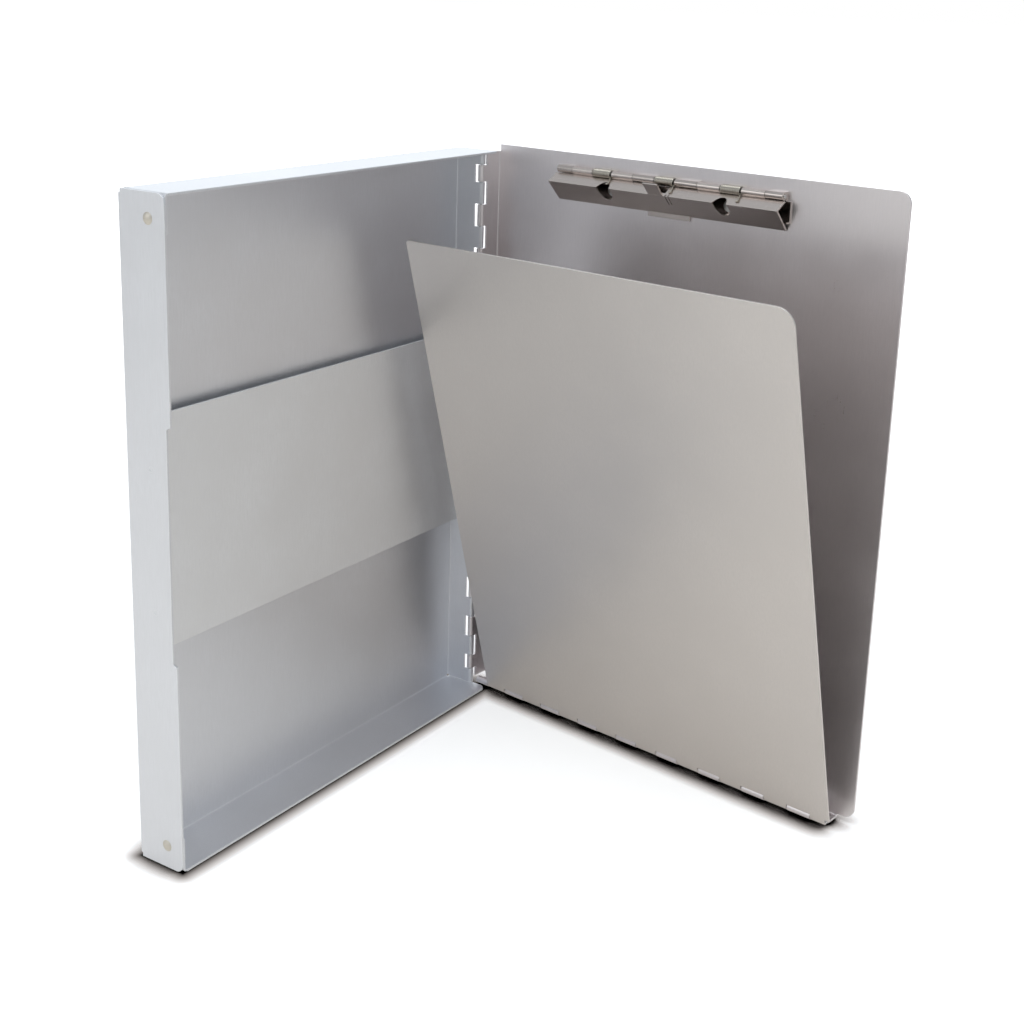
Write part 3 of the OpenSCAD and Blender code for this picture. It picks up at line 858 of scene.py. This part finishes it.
class CLIPBOX_OT_dress_clip(bpy.types.Operator):
    """Bright nickel plate for the clip"""

    bl_idname = "clipbox.dress_clip"
    bl_label = "Plate the clip"

    def execute(self, context):
        clip = context.scene.clipbox_clip
        jaw = bright_metal("clip nickel", clip.plate_colour, clip.plate_roughness, grain=0.03)
        dress("clip_jaw", jaw)
        # Painted shade: a darker copy of the jaw's nickel for the base plate under the jaw
        shade = scaled(clip.plate_colour, clip.base_painted_shade)
        base = bright_metal("base nickel", shade, clip.base_roughness, grain=0.02)
        dress("clip_base_plate", base)
        steel = bright_metal("clip rivet steel", *CLIP_RIVET_STEEL)
        for name in ("clip_rivet_left", "clip_rivet_right"):
            dress(name, steel)
        dress("clip_pin", bright_metal("clip pin steel", *CLIP_PIN_STEEL))
        return {"FINISHED"}


class CLIPBOX_OT_wind_springs(bpy.types.Operator):
    """Three close-wound springs on the clip's pin, each with a leg on the jaw"""

    bl_idname = "clipbox.wind_springs"
    bl_label = "Wind the springs"

    def execute(self, context):
        clip = context.scene.clipbox_clip
        axes = barrel_axes()
        inverse = axes.inverted()
        spans = []
        for name in SPRING_NODES:
            along_pin = [(inverse @ v.co).x for v in frame["nodes"][name].data.vertices]
            spans.append((min(along_pin), max(along_pin)))
        centres = [((low + high) / 2, 0, 0) for low, high in spans]
        low, high = spans[0]
        length = high - low
        wire_width = 2 * clip.wire_radius
        along = Vector((1, 0, 0))
        down = Vector((0, -math.sin(JAW_SLOPE), -math.cos(JAW_SLOPE)))
        out = Vector((0, math.cos(JAW_SLOPE), -math.sin(JAW_SLOPE)))
        start = (length / 2 - clip.wire_radius) * along + LEG_STAND_OFF * out + LEG_START * down
        end = start + clip.leg_length * down + LEG_SPLAY * along
        hook = end - HOOK_BACK * along + HOOK_DOWN * down

        points = bpy.data.meshes.new("spring centres")
        points.from_pydata(centres, [], [])
        carrier = bpy.data.objects.new("spring centres", points)
        context.scene.collection.objects.link(carrier)
        modifier = carrier.modifiers.new("springs", "NODES")
        modifier.node_group = spring_tree()
        wire = bright_metal("spring wire", *SPRING_WIRE)
        set_inputs(
            modifier,
            {
                "Wire radius": clip.wire_radius,
                "Coil radius": clip.coil_radius,
                "Coil length": length - wire_width,
                "Turns": round((length - wire_width) / wire_width),
                "Leg start": start,
                "Leg end": end,
                "Hook end": hook,
                "Material": wire,
            },
        )
        springs = bake(carrier, "clip_springs", axes)
        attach(springs, "jaw")
        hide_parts(*SPRING_NODES)
        return {"FINISHED"}


class CLIPBOX_OT_set_stage(bpy.types.Operator):
    """White floor, even room light, soft lamps and the camera"""

    bl_idname = "clipbox.set_stage"
    bl_label = "Set the stage"

    def execute(self, context):
        stage = context.scene.clipbox_stage
        lay_floor(stage)
        light_room(stage)
        for lamp in LAMPS:
            add_lamp(*lamp)
        place_camera(stage)
        context.scene.view_settings.view_transform = "Standard"
        return {"FINISHED"}


class CLIPBOX_PT_panel(bpy.types.Panel):
    """Steps of the clipboard box"""

    bl_label = "Clipboard box"
    bl_idname = "CLIPBOX_PT_panel"
    bl_space_type = "VIEW_3D"
    bl_region_type = "UI"
    bl_category = "Clipboard box"

    def draw(self, context):
        for group_name in SETTINGS:
            settings = getattr(context.scene, group_name)
            box = self.layout.box()
            for name in settings.__annotations__:
                box.prop(settings, name)
        for step in STEPS:
            self.layout.operator("clipbox." + step)


STEPS = ("dress_tray", "dress_cover", "dress_clip", "wind_springs", "set_stage")
SETTINGS = {"clipbox_sheet": SheetSettings, "clipbox_clip": ClipSettings, "clipbox_stage": StageSettings}
CLASSES = (
    *SETTINGS.values(),
    CLIPBOX_OT_dress_tray,
    CLIPBOX_OT_dress_cover,
    CLIPBOX_OT_dress_clip,
    CLIPBOX_OT_wind_springs,
    CLIPBOX_OT_set_stage,
    CLIPBOX_PT_panel,
)


def register():
    """Adds the classes and hangs the settings on the scene."""
    for item in CLASSES:
        bpy.utils.register_class(item)
    for name, group in SETTINGS.items():
        setattr(bpy.types.Scene, name, bpy.props.PointerProperty(type=group))


def unregister():
    """Takes the settings and the classes away again."""
    for name in SETTINGS:
        delattr(bpy.types.Scene, name)
    for item in reversed(CLASSES):
        bpy.utils.unregister_class(item)


def main():
    """Dresses the box and sets the stage."""
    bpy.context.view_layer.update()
    register()
    for step in STEPS:
        getattr(bpy.ops.clipbox, step)()


if __name__ == "__main__":
    main()
